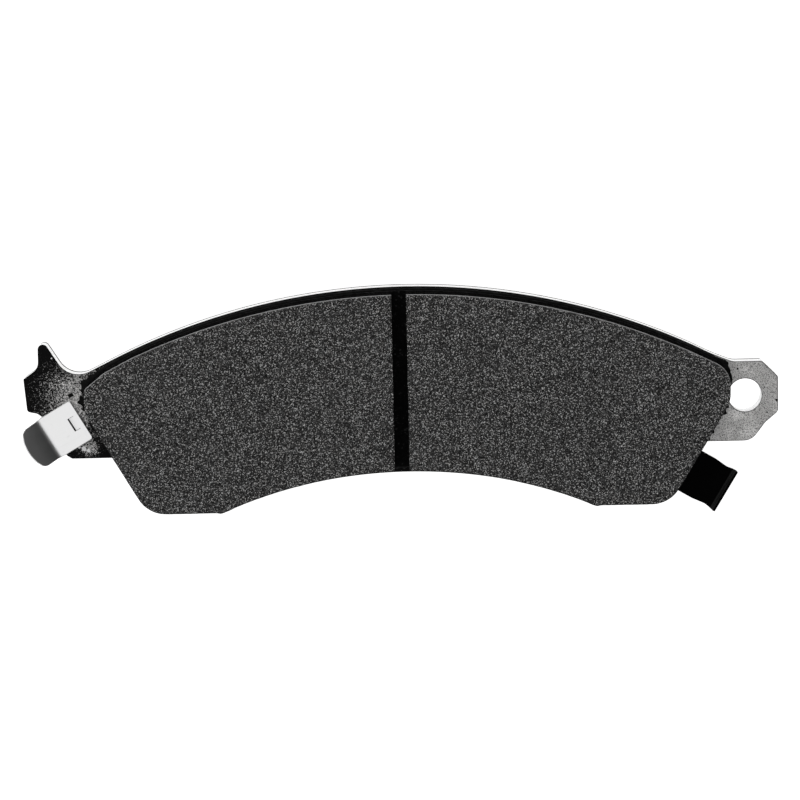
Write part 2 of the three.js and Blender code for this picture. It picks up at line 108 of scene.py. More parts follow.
def add_softbox(name, place, size, radiance):
    data = bpy.data.lights.new(name, "AREA")
    data.shape = "RECTANGLE"
    data.size, data.size_y = size
    data.energy = radiance * size[0] * size[1] * math.pi
    light = bpy.data.objects.new(name, data)
    scene.collection.objects.link(light)
    light.location = place
    light.rotation_euler = (-Vector(place)).to_track_quat("-Z", "Y").to_euler()


def light_studio():
    world = bpy.data.worlds.new("studio_world")
    world.use_nodes = True
    backdrop = world.node_tree.nodes["Background"]
    backdrop.inputs["Color"].default_value = (1, 1, 1, 1)
    backdrop.inputs["Strength"].default_value = WORLD_STRENGTH
    scene.world = world
    for softbox in SOFTBOXES:
        add_softbox(*softbox)
    scene.view_settings.view_transform = "Standard"


# ---- outlines ----
SHARP_TURN = math.radians(32)         # a corner that turns more than this stays sharp
OUTLINE_STEP = 0.5 * mm
BEND_STEP = 4                         # degrees between the points of a sheet's bend


def turned_left(vector):
    return Vector((-vector.y, vector.x))


def flat_outlines(node, level):
    """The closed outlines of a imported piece's flat face at a level, the longest first."""
    mesh = frame["nodes"][node].data
    corner = {v.index: (round(v.co.x * 1e7), round(v.co.y * 1e7)) for v in mesh.vertices}
    following = {}
    for face in mesh.polygons:
        if any(abs(mesh.vertices[i].co.z - level) > 0.001 * mm for i in face.vertices):
            continue
        ring = [corner[i] for i in face.vertices]
        for k, start in enumerate(ring):
            end = ring[(k + 1) % len(ring)]
            if start in following.get(end, ()):
                following[end].remove(start)
            else:
                following.setdefault(start, []).append(end)
    loops = []
    while any(following.values()):
        start = next(key for key, ends in following.items() if ends)
        loop = [start]
        here = following[start].pop()
        while here != start:
            loop.append(here)
            here = following[here].pop()
        loops.append([Vector((x * 1e-7, y * 1e-7)) for x, y in loop])
    return sorted(loops, key=lambda loop: -abs(area_of(loop)))


def area_of(loop):
    return sum(a.x * b.y - b.x * a.y for a, b in zip(loop, loop[1:] + loop[:1])) / 2


def anticlockwise(loop):
    return loop if area_of(loop) > 0 else loop[::-1]


def smoothed(loop, step):
    """Rounds the facets between gentle corners and spaces the points at most a step apart."""
    count = len(loop)
    sharp = []
    tangents = []
    for i, point in enumerate(loop):
        into = point - loop[i - 1]
        out = loop[(i + 1) % count] - point
        sharp.append(abs(into.angle_signed(out)) > SHARP_TURN)
        tangents.append((into + out).normalized())
    points = []
    for i, start in enumerate(loop):
        k = (i + 1) % count
        chord = loop[k] - start
        leave = chord if sharp[i] else tangents[i] * chord.length
        arrive = chord if sharp[k] else tangents[k] * chord.length
        parts = max(1, math.ceil(chord.length / step))
        for part in range(parts):
            t = part / parts
            points.append(start * (2 * t**3 - 3 * t**2 + 1) + leave * (t**3 - 2 * t**2 + t)
                          + loop[k] * (3 * t**2 - 2 * t**3) + arrive * (t**3 - t**2))
    return thinned(points, step / 3)


def outline_of(node, level, inset):
    """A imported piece's outline, smoothed and drawn in a little."""
    outline = anticlockwise(smoothed(flat_outlines(node, level)[0], OUTLINE_STEP))
    return [p - n * inset for p, n in zip(outline, outward_normals(outline))]


def thinned(points, nearest):
    kept = [points[0]]
    for point in points[1:]:
        if (point - kept[-1]).length > nearest:
            kept.append(point)
    if (kept[-1] - kept[0]).length < nearest:
        kept.pop()
    return kept


def outward_normals(loop):
    """The direction and reach that move each point of an anticlockwise loop outwards by one unit."""
    normals = []
    for i, point in enumerate(loop):
        into = (point - loop[i - 1]).normalized()
        out = (loop[(i + 1) % len(loop)] - point).normalized()
        bisector = -turned_left(into + out).normalized()
        normals.append(bisector / max(0.5, bisector.dot(-turned_left(into))))
    return normals


def circle(x, y, radius, sides=48):
    turns = (2 * math.pi * k / sides for k in range(sides))
    return [Vector((x + radius * math.cos(a), y + radius * math.sin(a))) for a in turns]


def corner_arc(before, corner, after, radius, steps=None):
    """Points of an arc that replaces a corner, by default one for every BEND_STEP degrees."""
    into = (before - corner).normalized()
    out = (after - corner).normalized()
    half = into.angle(out) / 2
    centre = corner + (into + out).normalized() * radius / math.sin(half)
    start = corner + into * radius / math.tan(half) - centre
    sweep = start.angle_signed(corner + out * radius / math.tan(half) - centre)
    steps = steps or max(2, math.ceil(abs(math.degrees(sweep)) / BEND_STEP))
    return [centre + Matrix.Rotation(-sweep * k / steps, 2) @ start for k in range(steps + 1)]


def rounded_rectangle(low, high, radius, steps=5):
    corners = [(high.x, high.y, 0), (low.x, high.y, 90), (low.x, low.y, 180), (high.x, low.y, 270)]
    points = []
    for x, y, start in corners:
        centre = Vector((x - math.copysign(radius, x - (low.x + high.x) / 2),
                         y - math.copysign(radius, y - (low.y + high.y) / 2)))
        for k in range(steps + 1):
            angle = math.radians(start + 90 * k / steps)
            points.append(centre + radius * Vector((math.cos(angle), math.sin(angle))))
    return points


# ---- sheet and slab making ----
def within(points, loop):
    """For each point, whether it is inside a loop."""
    starts = np.array(loop)
    ends = np.roll(starts, -1, axis=0)
    rise = np.where(ends[:, 1] == starts[:, 1], 1.0, ends[:, 1] - starts[:, 1])
    found = []
    for part in np.array_split(np.asarray(points), len(points) // 400 + 1):
        x, y = part[:, :1], part[:, 1:]
        crosses = (y < starts[:, 1]) != (y < ends[:, 1])
        left_of = x < starts[:, 0] + (y - starts[:, 1]) * (ends[:, 0] - starts[:, 0]) / rise
        found.append((crosses & left_of).sum(axis=1) % 2 == 1)
    return np.concatenate(found)


def apart(points, loop):
    """Each point's distance to a loop."""
    starts = np.array(loop)
    edges = np.roll(starts, -1, axis=0) - starts
    lengths = (edges**2).sum(axis=1).clip(1e-18)
    nearest = []
    for part in np.array_split(np.asarray(points), len(points) // 400 + 1):
        away = part[:, None] - starts
        share = ((away * edges).sum(axis=2) / lengths).clip(0, 1)
        nearest.append(np.sqrt(((away - share[..., None] * edges)**2).sum(axis=2).min(axis=1)))
    return np.concatenate(nearest)


def shuffled_grid(loop, spacing, seed=7):
    """Points over the area of a loop, in rows that a light shuffle keeps from lining up."""
    xs = [p.x for p in loop]
    ys = [p.y for p in loop]
    columns = np.arange(min(xs), max(xs), spacing)
    rows = np.arange(min(ys), max(ys), spacing)
    grid = np.array([(x + spacing / 2 * (j % 2), y) for x in columns for j, y in enumerate(rows)])
    return grid + np.random.default_rng(seed).uniform(-0.2, 0.2, grid.shape) * spacing


def inside_points(grid, loops, margin):
    """The points of a grid that lie on a face, clear of its outer edge and of its holes."""
    keep = within(grid, loops[0]) & (apart(grid, loops[0]) > margin)
    for hole in loops[1:]:
        keep &= ~within(grid, hole) & (apart(grid, hole) > margin)
    return [Vector(p) for p in grid[keep]]


def fill_cap(bm, rings, facing_up, grid=None, margin=0.3 * mm):
    """Closes the face inside an outer ring of vertices and outside its hole rings."""
    loops = [[v.co.xy for v in ring] for ring in rings]
    level = rings[0][0].co.z
    loose = [] if grid is None else inside_points(grid, loops, margin)
    verts = [v for ring in rings for v in ring] + [bm.verts.new((p.x, p.y, level)) for p in loose]
    edges = []
    first = 0
    for ring in rings:
        edges += [(first + k, first + (k + 1) % len(ring)) for k in range(len(ring))]
        first += len(ring)
    corners, _, faces, origin, _, _ = geometry.delaunay_2d_cdt([v.co.xy for v in verts], edges, [], 1, 1e-9)
    centres = np.array([sum((corners[i] for i in face), Vector((0, 0))) / 3 for face in faces])
    keep = within(centres, loops[0])
    for hole in loops[1:]:
        keep &= ~within(centres, hole)
    for face, wanted in zip(faces, keep):
        if wanted:
            ring = [verts[origin[i][0]] if origin[i] else bm.verts.new((*corners[i], level)) for i in face]
            bm.faces.new(ring if facing_up else ring[::-1])


INSET_TRIES = 12


def add_ring(bm, loop, inset, level):
    """A ring of vertices a little inside an outline; `inset` is one length, or one for each point.

    At a corner tighter than the inset the ring stays nearer to the outline, so that it never crosses itself.
    """
    insets = inset if isinstance(inset, list) else [inset] * len(loop)
    levels = level if isinstance(level, list) else [level] * len(loop)
    tree = kdtree.KDTree(len(loop))
    for index, point in enumerate(loop):
        tree.insert(point.to_3d(), index)
    tree.balance()
    places = []
    for point, normal, length in zip(loop, outward_normals(loop), insets):
        for _ in range(INSET_TRIES):
            place = point - normal * length
            if tree.find(place.to_3d())[2] > abs(length) * 0.96:
                break
            length *= 0.8
        places.append(place)
    return [bm.verts.new((place.x, place.y, z)) for place, z in zip(places, levels)]


def join_rings(bm, rings):
    for low, high in zip(rings, rings[1:]):
        for k in range(len(low)):
            n = (k + 1) % len(low)
            bm.faces.new((low[k], low[n], high[n], high[k]))


def add_wall(bm, loop, stations, hole=False):
    """Rings up a wall: each station is (how far into the material from the outline, level)."""
    side = -1 if hole else 1
    rings = [add_ring(bm, anticlockwise(loop), side * inset, level) for inset, level in stations]
    join_rings(bm, rings)
    return rings


def make_slab(name, outer, holes, stations, hole_stations=None, grid=None, margin=0.3 * mm):
    """A plate of any outline, with a wall round its edge and round each hole."""
    bm = bmesh.new()
    walls = [add_wall(bm, outer, stations)]
    walls += [add_wall(bm, hole, hole_stations or stations, hole=True) for hole in holes]
    fill_cap(bm, [rings[0] for rings in walls], False, grid, margin)
    fill_cap(bm, [rings[-1] for rings in walls], True, grid, margin)
    return finish_mesh(name, bm)


def finish_mesh(name, bm, smooth_below=38):
    bmesh.ops.recalc_face_normals(bm, faces=bm.faces)
    mesh = bpy.data.meshes.new(name)
    bm.to_mesh(mesh)
    bm.free()
    mesh.shade_smooth()
    mesh.set_sharp_from_angle(angle=math.radians(smooth_below))
    piece = bpy.data.objects.new(name, mesh)
    scene.collection.objects.link(piece)
    return piece


def reshape(piece, move):
    """Moves every vertex of a piece to where `move` puts it."""
    for vertex in piece.data.vertices:
        vertex.co = move(vertex.co)
    piece.data.update()


def cut_away(piece, cutters):
    """Takes the cutters' shapes out of a piece."""
    for cutter in cutters:
        step = piece.modifiers.new("cut", "BOOLEAN")
        step.operation = "DIFFERENCE"
        step.solver = "EXACT"
        step.object = cutter
    shaped = piece.evaluated_get(bpy.context.evaluated_depsgraph_get())
    mesh = bpy.data.meshes.new_from_object(shaped)
    piece.modifiers.clear()
    piece.data = mesh
    for cutter in cutters:
        bpy.data.objects.remove(cutter)


def rough(co, size, seed=0.0):
    """Smooth noise from -1 to 1 with bumps of the given size."""
    return noise.noise(Vector(co) / size + Vector((seed, seed * 1.7, seed * 0.3)))


def swayed(co, size, seed_x, seed_y, reach):
    """A place pushed about in the pad's plane by noise."""
    return co + Vector((rough(co, size, seed_x), rough(co, size, seed_y), 0)) * reach


def rounded_wall(low, high, low_radius, high_radius, steps=4):
    """Stations of a wall whose two edges are rounded, with a flat land inside each edge."""
    turns = [math.radians(90 * k / steps) for k in range(steps + 1)]
    below = [(low_radius * (1 - math.sin(a)), low + low_radius * (1 - math.cos(a))) for a in turns]
    above = [(high_radius * (1 - math.cos(a)), high - high_radius * (1 - math.sin(a))) for a in turns]
    return [(low_radius * 1.5, low)] + below + above + [(high_radius * 1.5, high)]


def turned_piece(name, profile, centre, sides=48):
    """A solid of revolution: the profile is (radius, level) from the axis round to the axis."""
    bm = bmesh.new()
    rings = []
    for radius, level in profile[1:-1]:
        rings.append([bm.verts.new((p.x, p.y, level)) for p in circle(centre.x, centre.y, radius, sides)])
    join_rings(bm, rings)
    for ring, (_, level) in ((rings[0], profile[0]), (rings[-1], profile[-1])):
        tip = bm.verts.new((centre.x, centre.y, level))
        for k in range(sides):
            bm.faces.new((ring[k], ring[(k + 1) % sides], tip))
    return finish_mesh(name, bm)


# ---- bent sheet ----
class SheetFrame:
    """A sprung sheet's own directions: along it, across it and up, from the line where it flexes."""

    def __init__(self, joint):
        self.hinge = Vector(JOINTS[joint]["pos_m"])
        axis = Vector(JOINTS[joint]["axis"])
        self.across = axis.xy.normalized()
        self.along = Vector((self.across.y, -self.across.x))

    def laid(self, along, across, level):
        place = self.hinge.xy + self.along * along + self.across * across
        return Vector((place.x, place.y, level))

    def local(self, co):
        away = Vector((co.x, co.y)) - self.hinge.xy
        return away.dot(self.along), away.dot(self.across)

    def extent(self, *nodes):
        """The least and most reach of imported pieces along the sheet."""
        reach = [self.local(v.co)[0] for node in nodes for v in frame["nodes"][node].data.vertices]
        return min(reach), max(reach)

    def half_width(self, node):
        return max(abs(self.local(v.co)[1]) for v in frame["nodes"][node].data.vertices)


class BentPath:
    """The edge-on middle line of a bent sheet, through corners (along, level, bend radius)."""

    def __init__(self, corners):
        points = [Vector(corners[0][:2])]
        for before, corner, after in zip(corners, corners[1:], corners[2:]):
            points += corner_arc(*(Vector(c[:2]) for c in (before, corner, after)), corner[2])
        points.append(Vector(corners[-1][:2]))
        self.points = points
        self.lengths = [0.0]
        for a, b in zip(points, points[1:]):
            self.lengths.append(self.lengths[-1] + (b - a).length)

    def place(self, length):
        return np.array([np.interp(length, self.lengths, [p[i] for p in self.points]) for i in (0, 1)])

    def at(self, length):
        """The middle line's place and its upward normal at a length along it."""
        place = self.place(length)
        step = 0.05 * mm
        direction = Vector(self.place(length + step) - self.place(length - step)).normalized()
        if length < step or length > self.lengths[-1] - step:
            place = place + np.array(direction) * (length - min(max(length, 0), self.lengths[-1]))
        return Vector(place), turned_left(direction)

    def stops(self, spacing):
        """Lengths along the line that follow its bends closely."""
        marks = [0.0]
        for length in self.lengths:
            gap = length - marks[-1]
            if gap > 0.02 * mm:
                parts = math.ceil(gap / spacing)
                marks += [marks[-1] + gap * k / parts for k in range(1, parts + 1)]
        return marks


def sheet_grid(path, half_width, spacing):
    rows = np.arange(-half_width, half_width + spacing / 2, spacing)
    return np.array([(s, v) for s in path.stops(spacing) for v in rows])


def bend_sheet(piece, path, sheet_frame):
    """Wraps a flat pattern (along, across, above the middle) round its bent middle line."""
    def wrapped(co):
        place, up = path.at(co.x)
        bent = place + up * co.z
        return sheet_frame.laid(bent.x, co.y, bent.y)

    reshape(piece, wrapped)


# ---- shader building blocks ----
def put(tree, value, socket):
    """Links a value to a socket, or sets it there if it is a plain one."""
    if isinstance(value, bpy.types.NodeSocket):
        tree.links.new(value, socket)
    else:
        socket.default_value = value


def drive(tree, node, **inputs):
    """Feeds a node's sockets, which are given by name with _ for a space."""
    for key, value in inputs.items():
        put(tree, value, node.inputs[key.replace("_", " ")])


def add_node(tree, kind, inputs=None, **settings):
    made = tree.nodes.new(kind)
    for key, value in settings.items():
        setattr(made, key, value)
    for socket, value in (inputs or {}).items():
        put(tree, value, made.inputs[socket])
    return made


def compute(tree, operation, a, b=0.0, clamp=False):
    made = add_node(tree, "ShaderNodeMath", {0: a, 1: b}, operation=operation, use_clamp=clamp)
    return made.outputs[0]


def times(tree, a, b):
    return compute(tree, "MULTIPLY", a, b)


def rest_of(tree, share):
    """What a share leaves of one."""
    return compute(tree, "SUBTRACT", 1.0, share)


def distance(tree, a, b):
    return add_node(tree, "ShaderNodeVectorMath", {0: a, 1: b}, operation="DISTANCE").outputs["Value"]


def parts_of(tree, vector):
    return add_node(tree, "ShaderNodeSeparateXYZ", {0: vector}).outputs


def facing(tree, axis):
    """One part of the surface's normal."""
    return parts_of(tree, add_node(tree, "ShaderNodeNewGeometry").outputs["Normal"])[axis]


def mixed(tree, share, a, b, blend="MIX"):
    made = add_node(tree, "ShaderNodeMix", data_type="RGBA", blend_type=blend)
    for name, value in (("Factor_Float", share), ("A_Color", a), ("B_Color", b)):
        put(tree, value, next(s for s in made.inputs if s.identifier == name))
    return next(s for s in made.outputs if s.identifier == "Result_Color")


def tinted(tree, colour, tint):
    return mixed(tree, 1.0, colour, tint, "MULTIPLY")


def ranged(tree, value, low, high, to_low=0.0, to_high=1.0):
    inputs = {"Value": value, "From Min": low, "From Max": high, "To Min": to_low, "To Max": to_high}
    made = add_node(tree, "ShaderNodeMapRange", inputs, interpolation_type="SMOOTHSTEP")
    return made.outputs["Result"]


def new_group(name, inputs, outputs):
    """An empty shader group: inputs are (name, kind, default), outputs are (name, kind)."""
    tree = bpy.data.node_groups.new(name, "ShaderNodeTree")
    for label, kind, default in inputs:
        socket = tree.interface.new_socket(label, in_out="INPUT", socket_type="NodeSocket" + kind)
        socket.default_value = default
    for label, kind in outputs:
        tree.interface.new_socket(label, in_out="OUTPUT", socket_type="NodeSocket" + kind)
    return tree, tree.nodes.new("NodeGroupInput").outputs, tree.nodes.new("NodeGroupOutput")


def use(tree, group, **inputs):
    """Places a group in a material and feeds its sockets."""
    made = tree.nodes.new("ShaderNodeGroup")
    made.node_tree = group
    drive(tree, made, **inputs)
    return made.outputs


def grey(value, warmth=0.0):
    return (value * (1 + warmth), value, value * (1 - warmth), 1)


def noise_at(tree, place, fineness, detail=2.0, roughness=0.5, stretch=None):
    """Noise with bumps `1 / fineness` metres wide, squeezed by `stretch` along each axis."""
    if stretch:
        place = add_node(tree, "ShaderNodeMapping", {"Vector": place, "Scale": stretch}).outputs[0]
    inputs = {"Vector": place, "Scale": fineness, "Detail": detail, "Roughness": roughness}
    return add_node(tree, "ShaderNodeTexNoise", inputs).outputs["Fac"]


def pad_place(tree):
    return add_node(tree, "ShaderNodeTexCoord").outputs["Object"]


def make_grains():
    """Pressed-together grains: dark ones, pale ones and the matrix between them."""
    tree, given, out = new_group(
        "pressed_grains",
        [("Fineness", "Float", 2500.0), ("Dark", "Color", grey(0.01)), ("Middle", "Color", grey(0.05)),
         ("Pale", "Color", grey(0.15)), ("Dark Share", "Float", 0.3), ("Pale Share", "Float", 0.15)],
        [("Color", "Color"), ("Height", "Float")])
    place = pad_place(tree)
    cells = add_node(tree, "ShaderNodeTexVoronoi", {"Vector": place, "Scale": given["Fineness"],
                                                   "Randomness": 1.0}, feature="F1")
    pick = add_node(tree, "ShaderNodeSeparateColor", {"Color": cells.outputs["Color"]})
    blotches = noise_at(tree, place, times(tree, given["Fineness"], 0.45), 3.0, 0.6)
    drift = ranged(tree, blotches, 0.3, 0.7, -0.16, 0.16)
    chance = compute(tree, "ADD", pick.outputs[0], drift)
    dark_edge = compute(tree, "ADD", given["Dark Share"], 0.12)
    dark = ranged(tree, chance, given["Dark Share"], dark_edge, 1.0, 0.0)
    pale_edge = rest_of(tree, given["Pale Share"])
    pale = ranged(tree, chance, pale_edge, compute(tree, "ADD", pale_edge, 0.1))
    shade = ranged(tree, pick.outputs[1], 0.0, 1.0, 0.72, 1.28)
    middle = tinted(tree, given["Middle"], shade)
    colour = mixed(tree, pale, mixed(tree, dark, middle, given["Dark"]), given["Pale"])
    height = compute(tree, "SUBTRACT", times(tree, pick.outputs[2], 0.6),
                     times(tree, cells.outputs["Distance"], 0.5))
    drive(tree, out, Color=colour, Height=height)
    return tree


def make_pits():
    """Small pits and grit marks of a blasted or cast surface."""
    tree, given, out = new_group(
        "grit_pits", [("Fineness", "Float", 2000.0), ("Share", "Float", 0.35)],
        [("Mask", "Float"), ("Height", "Float")])
    place = pad_place(tree)
    fine = noise_at(tree, place, given["Fineness"], 3.0, 0.65)
    pits = ranged(tree, fine, given["Share"], compute(tree, "ADD", given["Share"], 0.14), 1.0, 0.0)
    drive(tree, out, Mask=pits, Height=fine)
    return tree


def make_grime():
    """Broad uneven patches, for dust, stains and thin or thick coating."""
    tree, given, out = new_group(
        "grime_patches", [("Fineness", "Float", 150.0), ("Level", "Float", 0.5), ("Softness", "Float", 0.2)],
        [("Mask", "Float")])
    patches = noise_at(tree, pad_place(tree), given["Fineness"], 5.0, 0.62)
    mask = ranged(tree, patches, given["Level"], compute(tree, "ADD", given["Level"], given["Softness"]))
    drive(tree, out, Mask=mask)
    return tree


def make_scratches():
    """Fine parallel lines, as rolling, shearing or polishing leaves them."""
    tree, given, out = new_group(
        "rolling_lines", [("Fineness", "Float", 900.0), ("Turn", "Float", 0.0), ("Share", "Float", 0.55)],
        [("Mask", "Float"), ("Height", "Float")])
    spin = add_node(tree, "ShaderNodeCombineXYZ", {"Z": given["Turn"]})
    along = add_node(tree, "ShaderNodeMapping", {"Vector": pad_place(tree), "Rotation": spin.outputs[0]})
    lines = noise_at(tree, along.outputs[0], given["Fineness"], 4.0, 0.7, (0.06, 1.0, 0.06))
    mask = ranged(tree, lines, given["Share"], compute(tree, "ADD", given["Share"], 0.1))
    drive(tree, out, Mask=mask, Height=lines)
    return tree


def make_spot():
    """A soft ragged spot round one place on the pad."""
    tree, given, out = new_group(
        "ragged_spot", [("Place", "Vector", (0, 0, 0)), ("Radius", "Float", 0.001), ("Edge", "Float", 0.3)],
        [("Mask", "Float")])
    place = pad_place(tree)
    share = compute(tree, "DIVIDE", distance(tree, place, given["Place"]), given["Radius"])
    ragged = compute(tree, "SUBTRACT", noise_at(tree, place, 1800.0, 3.0, 0.6), 0.5)
    reach = compute(tree, "ADD", share, times(tree, ragged, 1.6))
    edge_low = rest_of(tree, given["Edge"])
    drive(tree, out, Mask=ranged(tree, reach, edge_low, 1.0, 1.0, 0.0))
    return tree


def make_side_mask():
    """1 on walls that stand up and 0 on faces that lie flat."""
    tree, given, out = new_group("wall_mask", [("Steepness", "Float", 0.6)], [("Mask", "Float")])
    flatness = compute(tree, "ABSOLUTE", facing(tree, "Z"))
    edge = compute(tree, "ADD", given["Steepness"], 0.2)
    drive(tree, out, Mask=ranged(tree, flatness, given["Steepness"], edge, 1.0, 0.0))
    return tree


GRAINS = make_grains()
PITS = make_pits()
GRIME = make_grime()
LINES = make_scratches()
SPOT = make_spot()
WALL = make_side_mask()


def new_material(finish):
    """A material with the name of a finish, which wires its shader."""
    material = bpy.data.materials.new(finish.__name__)
    material.use_nodes = True
    tree = material.node_tree
    shader = tree.nodes["Principled BSDF"]
    drive(tree, shader, Metallic=0.0, Roughness=0.5, Specular_IOR_Level=0.5)
    finish(tree, shader)
    return material


def add_relief(tree, shader, height, depth):
    bump = add_node(tree, "ShaderNodeBump", {"Height": height, "Distance": depth, "Strength": 1.0})
    drive(tree, shader, Normal=bump.outputs["Normal"])


# ---- finishes: each wires the shader of the material that has its name ----
def white_paper(tree, shader):
    drive(tree, shader, Base_Color=grey(0.8), Roughness=0.9, Specular_IOR_Level=0.0,
          Emission_Color=grey(1.0), Emission_Strength=0.95)


def friction_compound(tree, shader):
    drive(tree, shader, Roughness=0.85)
    grains = use(tree, GRAINS, Fineness=5600.0, Dark=grey(0.004), Middle=grey(0.073), Pale=grey(0.7),
                 Dark_Share=0.33, Pale_Share=0.16)
    blotches = use(tree, GRIME, Fineness=900.0, Level=0.4, Softness=0.2)["Mask"]
    face = mixed(tree, blotches, tinted(tree, grains["Color"], grey(0.84, 0.02)),
                 tinted(tree, grains["Color"], grey(1.12)))
    wall = use(tree, WALL, Steepness=0.3)["Mask"]
    # Painted highlight and painted shade on the slope round the rotor face: it is made lighter (grey 0.42)
    # where it faces +y, towards the rim light, and near black where it faces -y.
    slope = compute(tree, "SUBTRACT", use(tree, WALL, Steepness=0.9)["Mask"], wall, clamp=True)
    outward = facing(tree, "Y")
    lighter_edge = times(tree, slope, ranged(tree, outward, 0.0, 0.3))
    shaded = times(tree, slope, ranged(tree, outward, -0.3, 0.0, 1.0, 0.0))
    edge_highlight_and_shade = mixed(tree, shaded, mixed(tree, lighter_edge, face, grey(0.42)), grey(0.004))
    colour = mixed(tree, wall, edge_highlight_and_shade, tinted(tree, face, grey(0.04)))
    drive(tree, shader, Base_Color=colour)
    drive(tree, shader, Specular_IOR_Level=ranged(tree, wall, 0.0, 1.0, 0.25, 0.0))
    add_relief(tree, shader, grains["Height"], 0.06 * mm)


def bonding_resin(tree, shader):
    drive(tree, shader, Roughness=0.6, Specular_IOR_Level=0.12)
    lumps = use(tree, PITS, Fineness=1500.0, Share=0.45)
    colour = mixed(tree, lumps["Mask"], grey(0.006), grey(0.002))
    drive(tree, shader, Base_Color=colour)
    add_relief(tree, shader, lumps["Height"], 0.15 * mm)


def underlayer_compound(tree, shader):
    drive(tree, shader, Roughness=0.9, Specular_IOR_Level=0.1)
    grains = use(tree, GRAINS, Fineness=2200.0, Dark=grey(0.002), Middle=grey(0.004), Pale=grey(0.03),
                 Dark_Share=0.4, Pale_Share=0.06)
    drive(tree, shader, Base_Color=grains["Color"])
    add_relief(tree, shader, grains["Height"], 0.15 * mm)


# Where the black coat of the plate's front is missing: beyond a slanted line on the holed ear and in chips
# below the clip.
# A soft patch of bare metal over the middle of the horned ear is a painted reflection, lighter in the middle
# and darker towards the ear's edges and horn.
BARE_EAR_LINE = 75.7 * mm
BARE_EAR_LEAN = -0.165
HORN_EAR_SHEEN_MIDDLE = Vector((-81.6, -2.2, 6)) * mm
HORN_EAR_SHEEN_REACH = 19 * mm
CHIPPED_PLACE = Vector((-79.6, -14.6, 6)) * mm
CHIPPED_REACH = 5.2 * mm
HORN_EAR_SHEEN_MOST = 0.6
CHIPPED_MOST = 0.55
# Single chips and single blobs of coat: (place, radius) in millimetres.
COAT_LOSSES = [((-81.1, -14.9, 6), 0.75), ((-80.0, -15.4, 6), 0.5), ((-82.3, -14.6, 6), 0.4),
               ((-88.4, 8.1, 6), 0.25)]
COAT_BLOBS = [((-83.9, -1.3, 6), 0.7), ((-81.2, -2.1, 6), 0.8), ((82.7, 1.9, 6), 0.28),
              ((92.5, -6.2, 6), 0.4), ((89.4, -2.9, 6), 0.22), ((90.1, -9.2, 6), 0.25)]
PIN_HOLE_MIDDLE = (84.6 * mm, -4.76 * mm, 3 * mm)
TORN_DEPTH = 1.3 * mm                 # the rough rear part of a punched edge
ROLLED_COAT = 0.85                    # how much of the coat stays on the plate's rolled edges


def coat_loss_and_sheen(tree, place):
    """How likely the coat is to be missing, from 0 to 1 over the front of the plate, together with a painted
    reflection: a soft patch over the middle of the horned ear that lets more bare metal through.
    """
    parts = parts_of(tree, place)
    lean = times(tree, parts["Y"], BARE_EAR_LEAN)
    beyond = compute(tree, "ADD", parts["X"], lean)
    thin_or_sheen = ranged(tree, beyond, BARE_EAR_LINE, BARE_EAR_LINE + 0.6 * mm)
    # The first patch is a painted reflection on the horned ear. The second is real chipping below the clip.
    for middle, reach, most in ((HORN_EAR_SHEEN_MIDDLE, HORN_EAR_SHEEN_REACH, HORN_EAR_SHEEN_MOST),
                                (CHIPPED_PLACE, CHIPPED_REACH, CHIPPED_MOST)):
        patch = ranged(tree, distance(tree, place, tuple(middle)), 0.0, reach, most, 0.0)
        thin_or_sheen = compute(tree, "MAXIMUM", thin_or_sheen, patch)
    return thin_or_sheen


def spot_at(tree, spot, radius):
    """A ragged spot's mask; its place and radius are in millimetres."""
    return use(tree, SPOT, Place=tuple(Vector(spot) * mm), Radius=radius * mm, Edge=0.3)["Mask"]


